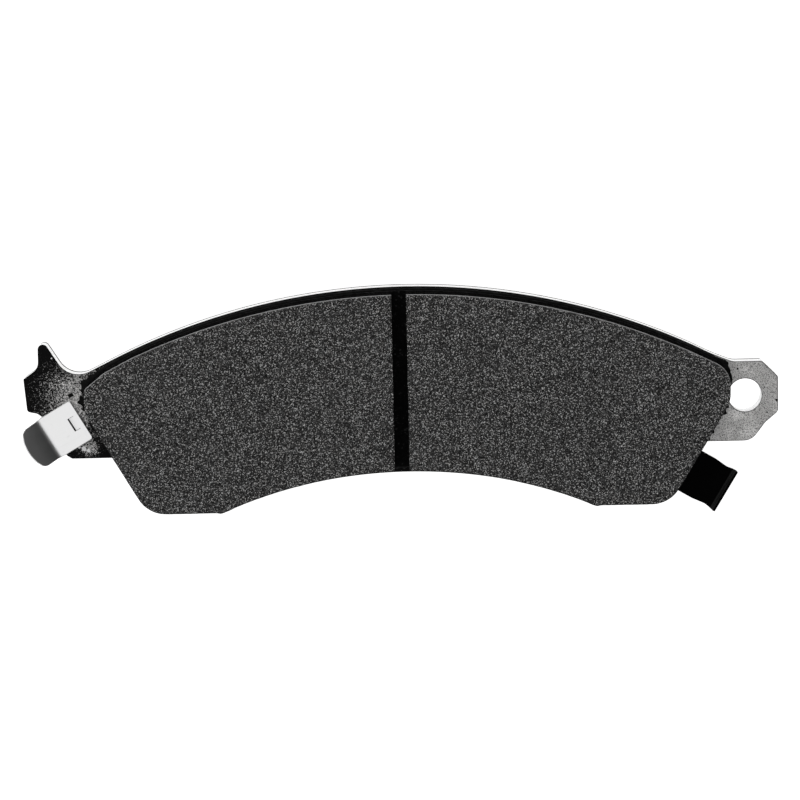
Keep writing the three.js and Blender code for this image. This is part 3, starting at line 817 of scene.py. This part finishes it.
def plate_steel(tree, shader):
    place = pad_place(tree)
    wall = use(tree, WALL, Steepness=0.35)["Mask"]
    pits = use(tree, PITS, Fineness=4200.0, Share=0.36)
    patches = use(tree, GRIME, Fineness=160.0, Level=0.42, Softness=0.3)["Mask"]
    bare = mixed(tree, patches, grey(0.62, 0.012), grey(0.92, 0.012))
    blasted = mixed(tree, pits["Mask"], bare, grey(0.05))
    thin_or_sheen = coat_loss_and_sheen(tree, place)
    fine = noise_at(tree, place, 3400.0, 2.0, 0.6)
    # Real loss of coat and the painted reflection on the horned ear, both shown as bare metal.
    bare_or_sheen = ranged(tree, compute(tree, "ADD", times(tree, thin_or_sheen, 0.62), fine), 0.72, 0.9)
    fresh = 0.0
    for spot, radius in COAT_LOSSES:
        fresh = compute(tree, "MAXIMUM", fresh, spot_at(tree, spot, radius))
    bare_or_sheen = compute(tree, "MAXIMUM", bare_or_sheen, fresh)
    for spot, radius in COAT_BLOBS:
        bare_or_sheen = times(tree, bare_or_sheen, rest_of(tree, spot_at(tree, spot, radius)))
    level = parts_of(tree, place)["Z"]
    punched = ranged(tree, distance(tree, place, PIN_HOLE_MIDDLE), 6.4 * mm, 6.6 * mm)
    rear = ranged(tree, level, PLATE_REAR + TORN_DEPTH, PLATE_REAR + TORN_DEPTH + 0.2 * mm, 1.0, 0.0)
    torn = times(tree, rear, punched)
    cut = mixed(tree, torn, mixed(tree, pits["Mask"], grey(0.85), grey(0.6)), grey(0.1, 0.02))
    metal = mixed(tree, wall, mixed(tree, fresh, blasted, grey(0.95)), cut)
    rolled = compute(tree, "SUBTRACT", use(tree, WALL, Steepness=0.75)["Mask"], wall, clamp=True)
    kept = times(tree, bare_or_sheen, rest_of(tree, times(tree, rolled, ROLLED_COAT)))
    bare_wall = times(tree, wall, ranged(tree, facing(tree, "Y"), -0.6, -0.25))
    shown = compute(tree, "MAXIMUM", kept, bare_wall)
    drive(tree, shader, Base_Color=mixed(tree, shown, grey(0.004), metal))
    metallic = ranged(tree, fresh, 0.0, 1.0, 0.85, 0.3)
    drive(tree, shader, Metallic=times(tree, shown, metallic))
    bare_roughness = ranged(tree, pits["Height"], 0.3, 0.7, 0.6, 0.42)
    drive(tree, shader, Roughness=ranged(tree, shown, 0.0, 1.0, 0.75, bare_roughness))
    drive(tree, shader, Specular_IOR_Level=0.1)
    add_relief(tree, shader, pits["Height"], 0.08 * mm)


def clip_plating(tree, shader):
    drive(tree, shader, Metallic=1.0)
    lines = use(tree, LINES, Fineness=1600.0, Turn=math.radians(-30), Share=0.6)
    dirt = use(tree, GRIME, Fineness=500.0, Level=0.6, Softness=0.25)["Mask"]
    plated = mixed(tree, lines["Mask"], grey(0.83), grey(0.81))
    drive(tree, shader, Base_Color=mixed(tree, dirt, plated, grey(0.72)))
    drive(tree, shader, Roughness=ranged(tree, lines["Height"], 0.3, 0.7, 0.3, 0.33))
    add_relief(tree, shader, lines["Height"], 0.001 * mm)


def spring_black(tree, shader):
    drive(tree, shader, Roughness=0.6, Specular_IOR_Level=0.02)
    pits = use(tree, PITS, Fineness=3000.0, Share=0.4)
    lighter_edge = use(tree, WALL, Steepness=0.75)["Mask"]
    flat = mixed(tree, pits["Mask"], grey(0.0012), grey(0.0006))
    drive(tree, shader, Base_Color=mixed(tree, lighter_edge, flat, grey(0.03)))
    add_relief(tree, shader, pits["Height"], 0.02 * mm)


def rivet_steel(tree, shader):
    drive(tree, shader, Metallic=1.0)
    pits = use(tree, PITS, Fineness=2200.0, Share=0.4)
    stain = use(tree, GRIME, Fineness=600.0, Level=0.5, Softness=0.2)["Mask"]
    clean = mixed(tree, pits["Mask"], grey(0.45, 0.01), grey(0.2))
    drive(tree, shader, Base_Color=mixed(tree, stain, clean, grey(0.22, 0.05)))
    drive(tree, shader, Roughness=ranged(tree, pits["Height"], 0.3, 0.7, 0.5, 0.35))
    add_relief(tree, shader, pits["Height"], 0.04 * mm)


def shim_coating(tree, shader):
    drive(tree, shader, Roughness=0.62, Specular_IOR_Level=0.3)
    pits = use(tree, PITS, Fineness=3200.0, Share=0.44)
    scuffs = use(tree, LINES, Fineness=500.0, Turn=math.radians(20), Share=0.66)
    dust = use(tree, GRIME, Fineness=90.0, Level=0.48, Softness=0.3)["Mask"]
    rubber = mixed(tree, pits["Mask"], grey(0.022), grey(0.012))
    scuffed = mixed(tree, times(tree, scuffs["Mask"], 0.5), rubber, grey(0.05))
    drive(tree, shader, Base_Color=mixed(tree, times(tree, dust, 0.4), scuffed, grey(0.04)))
    add_relief(tree, shader, pits["Height"], 0.06 * mm)


def shim_core(tree, shader):
    drive(tree, shader, Metallic=1.0)
    lines = use(tree, LINES, Fineness=1300.0, Turn=0.0, Share=0.5)
    drive(tree, shader, Base_Color=mixed(tree, lines["Mask"], grey(0.6), grey(0.42)))
    drive(tree, shader, Roughness=ranged(tree, lines["Height"], 0.3, 0.7, 0.25, 0.45))
    add_relief(tree, shader, lines["Height"], 0.02 * mm)


FINISHES = {finish.__name__: new_material(finish) for finish in (
    friction_compound, bonding_resin, underlayer_compound, plate_steel, clip_plating, spring_black,
    rivet_steel, shim_coating, shim_core)}


def place_piece(piece, body, slot, *nodes):
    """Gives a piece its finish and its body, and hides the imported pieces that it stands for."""
    piece.data.materials.clear()
    piece.data.materials.append(FINISHES[slot])
    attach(piece, body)
    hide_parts(*nodes)


def place_bent(piece, joint, before, after, slot, *nodes):
    """Gives a sprung sheet its finish, fixes its place in the world and hides the imported pieces that it
    stands for.
    """
    piece.data.materials.clear()
    piece.data.materials.append(FINISHES[slot])
    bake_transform(piece)
    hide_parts(*nodes)


CLIP = SheetFrame("tongue_flex")
SPRING = SheetFrame("arm_flex")
CLIP_HALF = CLIP.half_width("clip_leg")
SPRING_HALF = SPRING.half_width("abutment_spring_leg")


# ---- lining ----
EDGE_WEAR = 0.13 * mm                 # the worn edge round the rotor face
EDGE_CHIP = 0.35 * mm
WALL_SWAY = 0.04 * mm
FACE_DEPTH = 0.035 * mm
FACE_SPACING = 0.7 * mm
BED_SPACING = 2.5 * mm
BED_SWAY = 0.09 * mm


def friction_block(node):
    outline = outline_of(node, ROTOR_FACE, WALL_SWAY)
    height = ROTOR_FACE - UNDERLAYER_FRONT
    stations = [(0.2 * mm, UNDERLAYER_FRONT)]
    stations += [(0, UNDERLAYER_FRONT + share * height) for share in (0.01, 0.15, 0.3, 0.45, 0.6, 0.75, 0.88)]
    stations += [(0.01 * mm, ROTOR_FACE - 0.18 * mm), (0.05 * mm, ROTOR_FACE - 0.08 * mm),
                 (EDGE_WEAR, ROTOR_FACE - 0.015 * mm), (EDGE_WEAR + 0.1 * mm, ROTOR_FACE)]
    grid = shuffled_grid(outline, FACE_SPACING)
    block = make_slab(node + "_pressed", outline, [], stations, grid=grid)

    def weathered(co):
        up = (co.z - UNDERLAYER_FRONT) / height
        moved = co.copy()
        if up > 0.99:
            moved.z -= FACE_DEPTH * (1 + rough(co, 0.5 * mm)) * 0.5
        elif up > 0.01:
            moved = swayed(co, 1.2 * mm, 3, 9, WALL_SWAY)
            moved.z -= max(0, rough(co, 0.9 * mm, 5) - 0.25) * EDGE_CHIP if up > 0.95 else 0
        return moved

    reshape(block, weathered)
    place_piece(block, "pad", "friction_compound", node)


def middle_and_radius(loop):
    middle = sum(loop, Vector((0, 0))) / len(loop)
    return middle, sum((p - middle).length for p in loop) / len(loop)


PLUG_ROOM = 0.1 * mm                  # round a plug of the underlayer
PLUGS_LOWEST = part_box("underlayer")[0].z
PLUGS = [middle_and_radius(loop) for loop in flat_outlines("underlayer", PLUGS_LOWEST)]


def underlayer_bed():
    """The dark layer under both blocks, with its plugs down into the plate."""
    outline = outline_of("underlayer", UNDERLAYER_FRONT, 0.07 * mm)
    bm = bmesh.new()
    levels = [BOND_FRONT + share * (UNDERLAYER_FRONT - BOND_FRONT) for share in (0, 0.02, 0.35, 0.7, 0.98, 1)]
    insets = (0.2 * mm, 0, 0, 0, 0, 0.2 * mm)
    rim = add_wall(bm, outline, list(zip(insets, levels)))
    lowest = PLUGS_LOWEST
    stations = [(0, BOND_FRONT), (0, (BOND_FRONT + lowest) / 2), (0.05 * mm, lowest + 0.3 * mm),
                (0.4 * mm, lowest + 0.05 * mm), (1.2 * mm, lowest)]
    feet = [add_wall(bm, circle(middle.x, middle.y, radius), stations) for middle, radius in PLUGS]
    fill_cap(bm, [rim[0]] + [rings[0] for rings in feet], False)
    for rings in feet:
        fill_cap(bm, [rings[-1]], False)
    fill_cap(bm, [rim[-1]], True, shuffled_grid(outline, BED_SPACING), 0.8 * mm)
    bed = finish_mesh("underlayer_bed", bm)

    def crumbly(co):
        if co.z > BOND_FRONT + 0.01 * mm and co.z < UNDERLAYER_FRONT - 0.01 * mm:
            return swayed(co, 0.9 * mm, 2, 6, BED_SWAY)
        return co

    reshape(bed, crumbly)
    place_piece(bed, "pad", "underlayer_compound", "underlayer")


# ---- bonding resin ----
RESIN_BASE = 0.42 * mm                # how far the squeezed-out bead reaches past the lining
RESIN_ENDS = 0.75 * mm                # and how much further at the two ends
RESIN_LUMPS = 1.6 * mm
RESIN_HEIGHT = 0.45 * mm
KEEP_OFF = 0.12 * mm                  # between the bead and the clip or the pin hole


def pin_hole():
    """The middle and radius of the plate's largest hole beyond the lining."""
    lining_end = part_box("friction_block_right")[1].x
    holes = [middle_and_radius(loop) for loop in flat_outlines("backing_plate", PLATE_FRONT)[1:]]
    return next((middle, radius) for middle, radius in holes if middle.x > lining_end)


def resin_reach(point, normal, plate_edge, hole):
    """How far the bead spreads at one point of the lining's outline."""
    lump = max(0.0, rough(point.to_3d(), 1.3 * mm, 4) + 0.12) * RESIN_LUMPS
    crumb = rough(point.to_3d(), 0.42 * mm, 8) * 0.3 * mm
    reach = max(0.12 * mm, RESIN_BASE + RESIN_ENDS * abs(normal.x) + lump + crumb)
    inner, _ = CLIP.extent("clip_leg")
    while reach > 0.08 * mm:
        tip = point + normal * reach
        along, across = CLIP.local(tip)
        on_clip = along > inner - KEEP_OFF and along < 0 and abs(across) < CLIP_HALF + KEEP_OFF
        in_hole = (tip - hole[0]).length < hole[1] + KEEP_OFF
        past_edge = not within(np.array([tip]), plate_edge)[0]
        if not (on_clip or in_hole or past_edge):
            break
        reach -= 0.06 * mm
    return max(reach, 0.02 * mm)


def resin_bead():
    """The bonding layer with the ragged bead that pressing squeezes out round the lining."""
    outline = thinned(outline_of("underlayer", UNDERLAYER_FRONT, 0), 0.28 * mm)
    plate_edge = anticlockwise(flat_outlines("backing_plate", PLATE_FRONT)[0])
    plate_edge = [p - n * 0.3 * mm for p, n in zip(plate_edge, outward_normals(plate_edge))]
    hole = pin_hole()
    normals = outward_normals(outline)
    reach = [resin_reach(p, n, plate_edge, hole) for p, n in zip(outline, normals)]
    lift = [RESIN_HEIGHT * (1 + 0.8 * rough(p.to_3d(), 0.8 * mm, 12)) * min(1, r / RESIN_BASE)
            for p, r in zip(outline, reach)]
    bm = bmesh.new()
    foot = PLATE_FRONT + 0.005 * mm
    shares = ((0.9, 0), (1.0, 0.12), (0.85, 0.6), (0.45, 0.95))
    rings = [add_ring(bm, outline, 0.2 * mm, foot)]
    rings += [add_ring(bm, outline, [-r * out for r in reach], [foot + up * h for h in lift])
              for out, up in shares]
    rings.append(add_ring(bm, outline, -0.015 * mm, [max(foot + h, BOND_FRONT) for h in lift]))
    rings.append(add_ring(bm, outline, -0.01 * mm, BOND_FRONT - 0.01 * mm))
    join_rings(bm, rings)
    stations = [(0, foot), (0, BOND_FRONT - 0.01 * mm)]
    holes = [add_wall(bm, circle(middle.x, middle.y, radius + PLUG_ROOM), stations, hole=True)
             for middle, radius in PLUGS]
    fill_cap(bm, [rings[0]] + [wall[0] for wall in holes], False)
    fill_cap(bm, [rings[-1]] + [wall[-1] for wall in holes], True)
    place_piece(finish_mesh("resin_bead", bm, 60), "pad", "bonding_resin", "bond_layer")


# ---- backing plate ----
DIE_ROLL = 0.35 * mm                  # the soft edge that the punch pulls round the front
BURR_EDGE = 0.12 * mm
SPRING_ROOM = 0.3 * mm                # round the spring's leg in its recess
SPRING_RUN = 4 * mm                   # of its recess past the line where it flexes
BARB_ROUNDING = 0.3 * mm
RECESS_ROUNDING = 0.8 * mm
CUT_PAST = 1 * mm                     # how far a cutter stands out of the plate
TORN_SWAY = 0.04 * mm
RIVET_SHANK = 1.6 * mm
BORE_ROOM = 0.15 * mm                 # round a rivet's shank
SINK = 1.2 * mm                       # depth of a rivet's countersink
BARB_POCKET = (1.1 * mm, 2.95 * mm, 2.1 * mm, 0.9 * mm)   # start, end, half width, depth


def flat_box(sheet_frame, start, end, half, low, high, radius):
    """A rounded cutter laid along a sheet's own directions."""
    loop = rounded_rectangle(Vector((start, -half)), Vector((end, half)), radius)
    cutter = make_slab("cutter", loop, [], [(0, low), (0, high)])
    reshape(cutter, lambda co: sheet_frame.laid(co.x, co.y, co.z))
    return cutter


def rivet_places():
    boxes = [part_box(node) for node in ("spring_rivet_lower", "spring_rivet_upper")]
    return [(low.xy + high.xy) / 2 for low, high in boxes]


def plate_blank():
    outline = outline_of("backing_plate", PLATE_FRONT, 0.01 * mm)
    rounds = [pin_hole()] + [(middle, radius + PLUG_ROOM) for middle, radius in PLUGS]
    holes = [circle(middle.x, middle.y, radius, 72) for middle, radius in rounds]
    middle_levels = [(0.05 * mm, PLATE_REAR + 0.5 * mm), (0.04 * mm, PLATE_REAR + 1.0 * mm),
                     (0.01 * mm, PLATE_REAR + 1.5 * mm), (0, PLATE_REAR + 2.4 * mm)]
    wall = rounded_wall(PLATE_REAR, PLATE_FRONT, BURR_EDGE, DIE_ROLL)
    stations = wall[:6] + middle_levels + wall[6:]
    plate = make_slab("plate_blank", outline, holes, stations)

    def torn(co):
        up = co.z - PLATE_REAR
        if 0.2 * mm < up < 1.2 * mm:
            return swayed(co, 0.7 * mm, 1, 5, TORN_SWAY)
        return co

    reshape(plate, torn)
    inner, _ = SPRING.extent("abutment_spring_leg")
    behind = PLATE_REAR - CUT_PAST
    ahead = PLATE_FRONT + CUT_PAST
    recess = flat_box(SPRING, inner - SPRING_ROOM, SPRING_RUN, SPRING_HALF + SPRING_ROOM, behind,
                      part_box("abutment_spring_leg")[1].z, RECESS_ROUNDING)
    clip_inner, _ = CLIP.extent("clip_leg")
    start, end, half, depth = BARB_POCKET
    pocket = flat_box(CLIP, clip_inner + start, clip_inner + end, half, PLATE_FRONT - depth, ahead,
                      BARB_ROUNDING)
    bore = RIVET_SHANK + BORE_ROOM
    profile = [(0, behind), (bore, behind), (bore, PLATE_FRONT - SINK), (bore + SINK + CUT_PAST, ahead),
               (0, ahead)]
    bores = [turned_piece("cutter", profile, place) for place in rivet_places()]
    cut_away(plate, [recess, pocket] + bores)
    plate.data.shade_smooth()
    plate.data.set_sharp_from_angle(angle=math.radians(38))
    place_piece(plate, "pad", "plate_steel", "backing_plate")


# ---- shim ----
def shim_layer(node, name, slot, edge, sway):
    low, high = (corner.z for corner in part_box(node))
    outline = outline_of(node, high, sway)
    stations = rounded_wall(low, high, edge, edge, 2)
    layer = make_slab(name, outline, [], stations)
    reshape(layer, lambda co: swayed(co, 1.5 * mm, 2, 7, sway))
    place_piece(layer, "pad", slot, node)


# ---- clip on the horned ear ----
CLIP_SHEET = CLIP_FRONT - PLATE_FRONT
CLIP_RISE = math.radians(38)
CLIP_BEND = 2.6 * mm + CLIP_SHEET / 2
FLEX_GAP = 0.3 * mm
TONGUE_NARROWING = 0.2 * mm
TIP_RADIUS = 9.5 * mm
TIP_CORNER = 2.2 * mm
SLIT = 0.34 * mm
SIDE_SLIT = 0.04 * mm
BARB_START = 1.25 * mm                # from the leg's inner edge
BARB_LENGTH = 1.4 * mm
BARB_HALF_WIDTH = 1.75 * mm
BARB_DROP = 0.24 * mm


def rounded_loop(corners):
    """A closed outline through corners (x, y, radius)."""
    points = []
    places = [Vector(corner[:2]) for corner in corners]
    for i, place in enumerate(places):
        radius = corners[i][2]
        after = places[(i + 1) % len(places)]
        points += corner_arc(places[i - 1], place, after, radius, 6) if radius else [place]
    return points


def spaced(loop, step):
    """Adds points to an outline so that none are more than a step apart."""
    points = []
    for a, b in zip(loop, loop[1:] + loop[:1]):
        parts = max(1, math.ceil((b - a).length / step))
        points += [a.lerp(b, k / parts) for k in range(parts)]
    return points


def clip_outline(length, bend_start, half):
    """The flat pattern of the clip: the leg from 0, then the tongue with its round tip."""
    narrow = half - TONGUE_NARROWING
    corner_back = TIP_RADIUS - math.sqrt(TIP_RADIUS**2 - narrow**2)
    lower = [(0, -half, 0.7 * mm), (bend_start, -half, 2 * mm), (bend_start + 2.4 * mm, -narrow, 2 * mm),
             (length - corner_back, -narrow, TIP_CORNER)]
    arc = [(length - TIP_RADIUS + math.sqrt(TIP_RADIUS**2 - y * y), y, 0)
           for y in (narrow * 0.55 * (k / 6 - 1) for k in range(13))]
    upper = [(x, -y, radius) for x, y, radius in reversed(lower)]
    return spaced(rounded_loop(lower + arc + upper), 0.3 * mm)


def barb_slit(start):
    """The U-shaped cut round the barb."""
    free = start + BARB_LENGTH
    half = BARB_HALF_WIDTH
    wide = half + SIDE_SLIT
    corners = [(start, -wide), (free + SLIT, -wide), (free + SLIT, wide), (start, wide), (start, half),
               (free, half), (free, -half), (start, -half)]
    return spaced([Vector(c) for c in corners], 0.2 * mm)


def spring_clip():
    inner, _ = CLIP.extent("clip_leg")
    _, tip = CLIP.extent("clip_tongue")
    middle = PLATE_FRONT + CLIP_SHEET / 2
    vertex = FLEX_GAP / 2 + CLIP_BEND * math.tan(CLIP_RISE / 2)
    rise_run = tip - CLIP_SHEET / 2 * math.sin(CLIP_RISE) - vertex
    path = BentPath([(inner, middle, 0), (vertex, middle, CLIP_BEND),
                     (vertex + rise_run, middle + rise_run * math.tan(CLIP_RISE), 0)])
    outline = clip_outline(path.lengths[-1], -inner - 0.3 * mm, CLIP_HALF)
    slit = barb_slit(BARB_START)
    stations = rounded_wall(-CLIP_SHEET / 2, CLIP_SHEET / 2, 0.1 * mm, 0.16 * mm, 3)
    hole_stations = rounded_wall(-CLIP_SHEET / 2, CLIP_SHEET / 2, 0.03 * mm, 0.04 * mm, 2)
    grid = sheet_grid(path, CLIP_HALF, 0.35 * mm)
    clip = make_slab("spring_clip", outline, [slit], stations, hole_stations, grid, 0.12 * mm)

    def pressed_barb(co):
        share = (co.x - BARB_START) / BARB_LENGTH
        if 0 < share < 1.08 and abs(co.y) < BARB_HALF_WIDTH + 0.05 * mm:
            return co - Vector((0, 0, BARB_DROP * share**1.4))
        return co

    reshape(clip, pressed_barb)
    bend_sheet(clip, path, CLIP)
    place_bent(clip, "tongue_flex", -0.6 * mm, 1.2 * mm, "clip_plating", "clip_leg", "clip_tongue")


# ---- abutment spring ----
SPRING_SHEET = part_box("abutment_spring_leg")[1].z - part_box("abutment_spring_leg")[0].z
SPRING_DIP = 0.5 * mm
SPRING_WAIST = 0.38 * mm
LIP_HEIGHT = 2.4 * mm
LIP_BEND = 0.8 * mm + SPRING_SHEET / 2


def abutment_spring():
    inner, _ = SPRING.extent("abutment_spring_leg")
    _, outer = SPRING.extent("abutment_spring_arm")
    middle = sum(corner.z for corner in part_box("abutment_spring_leg")) / 2
    low = middle - SPRING_DIP
    lip = outer - SPRING_SHEET / 2 - 0.3 * mm
    path = BentPath([(inner, middle, 0), (lip * 0.24, middle, 8 * mm), (lip * 0.61, low, 8 * mm),
                     (lip, low, LIP_BEND), (lip + 0.12 * LIP_HEIGHT, low + LIP_HEIGHT, 0)])
    length = path.lengths[-1]
    half = SPRING_HALF
    lower = [(0, -half, 0.9 * mm), (-inner + lip * 0.48, -half, 7 * mm),
             (-inner + lip * 0.8, -half + SPRING_WAIST, 3 * mm), (-inner + lip, -half, 2 * mm),
             (length, -half, 0.35 * mm)]
    upper = [(x, -y, radius) for x, y, radius in reversed(lower)]
    outline = spaced(rounded_loop(lower + upper), 0.3 * mm)
    holes = []
    for place in rivet_places():
        along, across = SPRING.local(place.to_3d())
        holes.append(circle(along - inner, across, RIVET_SHANK + BORE_ROOM, 32))
    stations = rounded_wall(-SPRING_SHEET / 2, SPRING_SHEET / 2, 0.12 * mm, 0.12 * mm, 3)
    grid = sheet_grid(path, half, 0.4 * mm)
    spring = make_slab("abutment_spring", outline, holes, stations, None, grid, 0.12 * mm)
    bend_sheet(spring, path, SPRING)
    place_bent(spring, "arm_flex", -0.5 * mm, 0.9 * mm, "spring_black", "abutment_spring_leg",
               "abutment_spring_arm")


def rivet(node):
    """A rivet with a domed, dimpled rear head and a countersunk front one."""
    low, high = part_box(node)
    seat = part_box("abutment_spring_leg")[0].z
    head = seat - low.z
    radius = max(high.xy - low.xy) / 2
    centre = (low.xy + high.xy) / 2
    profile = [(0, low.z + 0.16 * mm), (0.35 * mm, low.z + 0.14 * mm), (0.7 * mm, low.z + 0.02 * mm),
               (1.0 * mm, low.z), (radius * 0.7, low.z + head * 0.1), (radius * 0.88, low.z + head * 0.32),
               (radius * 0.985, low.z + head * 0.62), (radius, low.z + head * 0.85), (radius * 0.97, seat),
               (RIVET_SHANK, seat), (RIVET_SHANK, PLATE_FRONT - SINK - 0.1 * mm),
               (RIVET_SHANK + SINK - 0.1 * mm, high.z - 0.02 * mm), (RIVET_SHANK + 0.8 * mm, high.z),
               (0, high.z)]
    place_piece(turned_piece(node + "_turned", profile, centre), "pad", "rivet_steel", node)


# ---- the pad ----
plate_blank()
resin_bead()
underlayer_bed()
for node in ("friction_block_left", "friction_block_right"):
    friction_block(node)
shim_layer("shim_adhesive", "shim_glue_film", "bonding_resin", 0.05 * mm, 0.08 * mm)
shim_layer("shim_steel", "shim_steel_core", "shim_core", 0.08 * mm, 0)
shim_layer("shim_rubber", "shim_rubber_coat", "shim_coating", 0.08 * mm, 0.02 * mm)
spring_clip()
abutment_spring()
for node in ("spring_rivet_lower", "spring_rivet_upper"):
    rivet(node)

add_camera()
add_floor()
light_studio()
